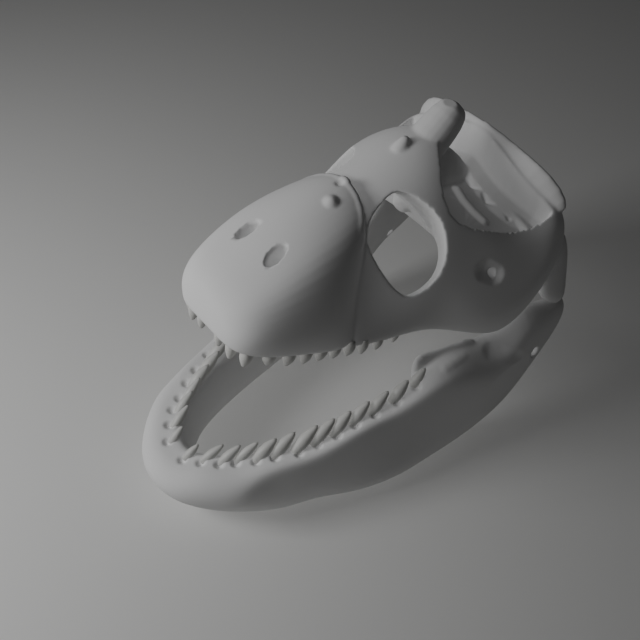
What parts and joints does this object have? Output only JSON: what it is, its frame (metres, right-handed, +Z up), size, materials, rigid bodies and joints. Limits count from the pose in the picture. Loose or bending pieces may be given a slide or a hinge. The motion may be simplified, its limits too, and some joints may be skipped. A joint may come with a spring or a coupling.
{
  "type": "theropod dinosaur skull",
  "caption": "Skull of a large meat-eating dinosaur, jaws set wide open and lined with conical teeth, resting on its lower jaw.",
  "frame": {"origin": "centre of the footprint's box, on the ground under the lower jaw", "axes": "-Y towards the snout, +X to the animal's left, +Z up"},
  "size_m": [0.8026, 1.348, 1.0689],
  "materials": {
    "cranium_bone": "matte",
    "jaw_bone": "matte",
    "upper_tooth": "matte",
    "lower_tooth": "matte"
  },
  "bodies": {
    "root": {"cranium": "cranium_bone", "mandible": "jaw_bone", "lower_tooth_01_left": "lower_tooth", "lower_tooth_01_right": "lower_tooth", "lower_tooth_02_left": "lower_tooth", "lower_tooth_02_right": "lower_tooth", "lower_tooth_03_left": "lower_tooth", "lower_tooth_03_right": "lower_tooth", "lower_tooth_04_left": "lower_tooth", "lower_tooth_04_right": "lower_tooth", "lower_tooth_05_left": "lower_tooth", "lower_tooth_05_right": "lower_tooth", "lower_tooth_06_left": "lower_tooth", "lower_tooth_06_right": "lower_tooth", "lower_tooth_07_left": "lower_tooth", "lower_tooth_07_right": "lower_tooth", "lower_tooth_08_left": "lower_tooth", "lower_tooth_08_right": "lower_tooth", "lower_tooth_09_left": "lower_tooth", "lower_tooth_09_right": "lower_tooth", "lower_tooth_10_left": "lower_tooth", "lower_tooth_10_right": "lower_tooth", "lower_tooth_11_left": "lower_tooth", "lower_tooth_11_right": "lower_tooth", "lower_tooth_12_left": "lower_tooth", "lower_tooth_12_right": "lower_tooth", "lower_tooth_13_left": "lower_tooth", "lower_tooth_13_right": "lower_tooth", "upper_tooth_01_left": "upper_tooth", "upper_tooth_01_right": "upper_tooth", "upper_tooth_02_left": "upper_tooth", "upper_tooth_02_right": "upper_tooth", "upper_tooth_03_left": "upper_tooth", "upper_tooth_03_right": "upper_tooth", "upper_tooth_04_left": "upper_tooth", "upper_tooth_04_right": "upper_tooth", "upper_tooth_05_left": "upper_tooth", "upper_tooth_05_right": "upper_tooth", "upper_tooth_06_left": "upper_tooth", "upper_tooth_06_right": "upper_tooth", "upper_tooth_07_left": "upper_tooth", "upper_tooth_07_right": "upper_tooth", "upper_tooth_08_left": "upper_tooth", "upper_tooth_08_right": "upper_tooth", "upper_tooth_09_left": "upper_tooth", "upper_tooth_09_right": "upper_tooth", "upper_tooth_10_left": "upper_tooth", "upper_tooth_10_right": "upper_tooth", "upper_tooth_11_left": "upper_tooth", "upper_tooth_11_right": "upper_tooth", "upper_tooth_12_left": "upper_tooth", "upper_tooth_12_right": "upper_tooth"}
  },
  "joints": []
}
